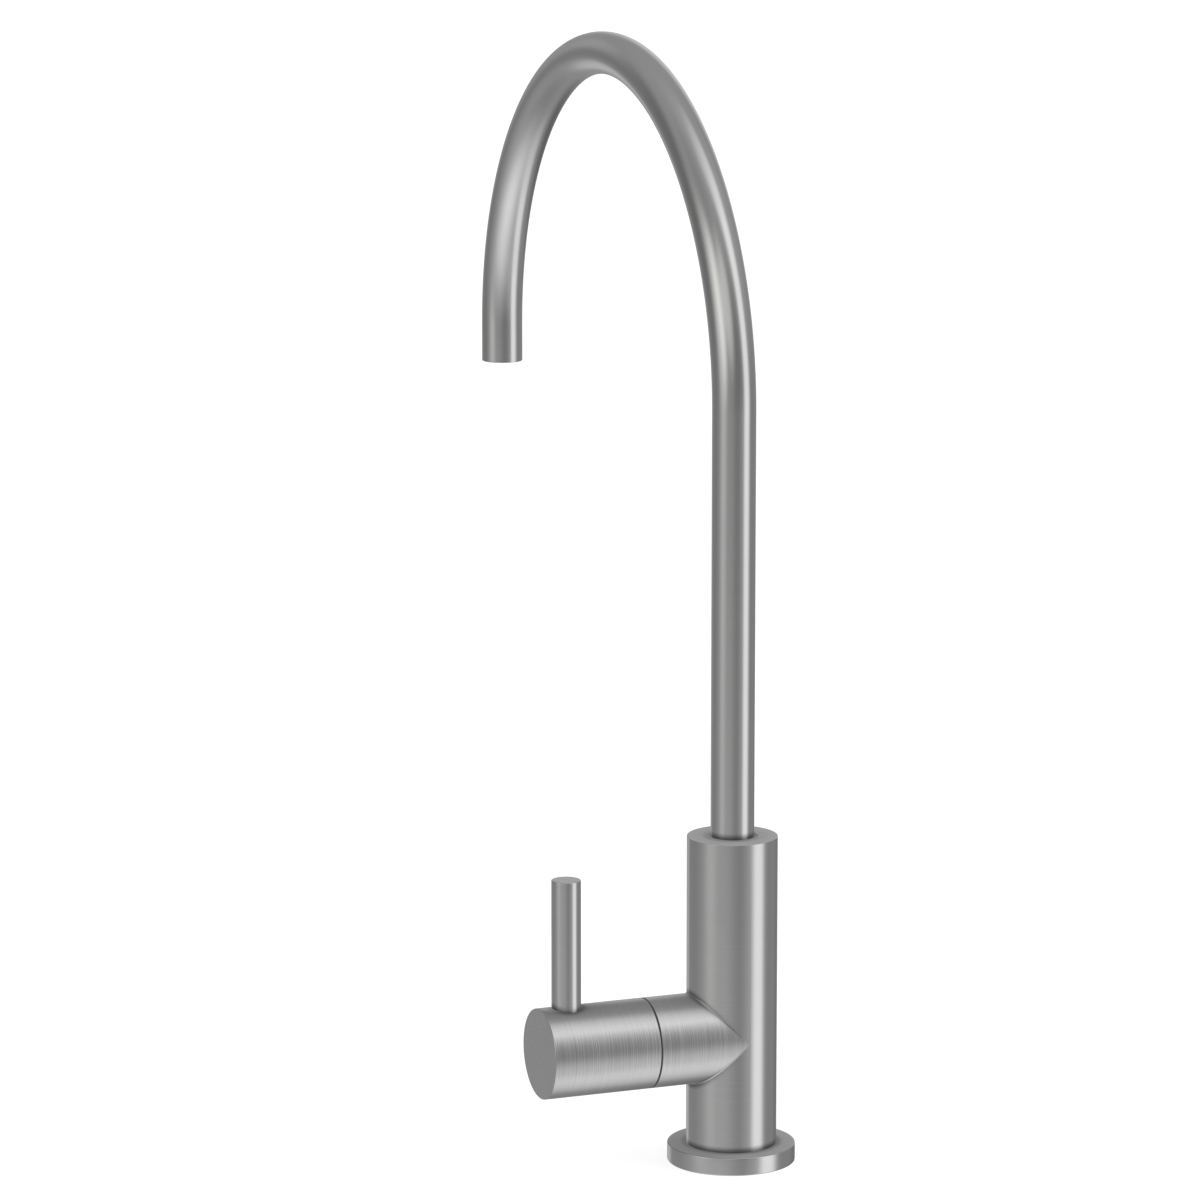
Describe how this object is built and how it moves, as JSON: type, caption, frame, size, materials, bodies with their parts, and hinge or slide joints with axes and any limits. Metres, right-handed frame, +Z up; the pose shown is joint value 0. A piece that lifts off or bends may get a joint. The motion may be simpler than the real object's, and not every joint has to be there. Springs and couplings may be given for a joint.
{
  "type": "drinking water filter tap",
  "caption": "Deck tap for filtered drinking water: slim column with a quarter-turn side handle and pin lever, and a thin swivelling gooseneck spout.",
  "frame": {"origin": "centre of the base flange's underside, on the deck", "axes": "+Z up along the column, the spout reaches towards -Y, the handle towards +X"},
  "size_m": [0.0745, 0.2005, 0.3599],
  "materials": {
    "brushed_steel": "brushed round the piece, satin",
    "bright_steel": "plain machined",
    "brass": "machined",
    "rubber": "matt",
    "black_plastic": "matt acetal",
    "white_plastic": "matt acetal",
    "ceramic": "lapped alumina"
  },
  "bodies": {
    "tap_body": {"column": "brushed_steel", "base_flange": "brushed_steel", "flange_gasket": "rubber", "threaded_shank": "brass", "shank_seal": "rubber", "spout_gland_ring": "brushed_steel", "spout_bush": "white_plastic", "spout_thrust_washer": "white_plastic", "cartridge_housing": "brass", "housing_o_ring": "rubber", "seat_seal": "rubber", "fixed_ceramic_disc": "ceramic", "handle_glide_ring": "black_plastic"},
    "deck_clamp": {"rubber_deck_washer": "rubber", "steel_clamp_washer": "bright_steel", "clamp_nut": "brass"},
    "spout": {"spout_tube": "brushed_steel", "spout_stem": "brass", "stem_o_rings": "rubber", "flow_straightener": "white_plastic"},
    "handle": {"handle_hub": "brushed_steel", "lever_pin": "brushed_steel", "hub_grub_screw": "bright_steel", "valve_spindle": "brass", "moving_ceramic_disc": "ceramic", "spindle_o_rings": "rubber", "spindle_clip": "bright_steel"}
  },
  "joints": [
    {"name": "spout_swivel", "type": "hinge", "parent": "tap_body", "child": "spout", "pos_m": [0, 0, 0.0919], "axis": [0, 0, 1], "continuous": true},
    {"name": "handle_turn", "type": "hinge", "parent": "tap_body", "child": "handle", "pos_m": [0.04, 0, 0.0356], "axis": [1, 0, 0], "range_deg": [0, 90]},
    {"name": "clamp_travel", "type": "slide", "parent": "tap_body", "child": "deck_clamp", "axis": [0, 0, 1], "range_m": [-0.009, 0.019]}
  ]
}
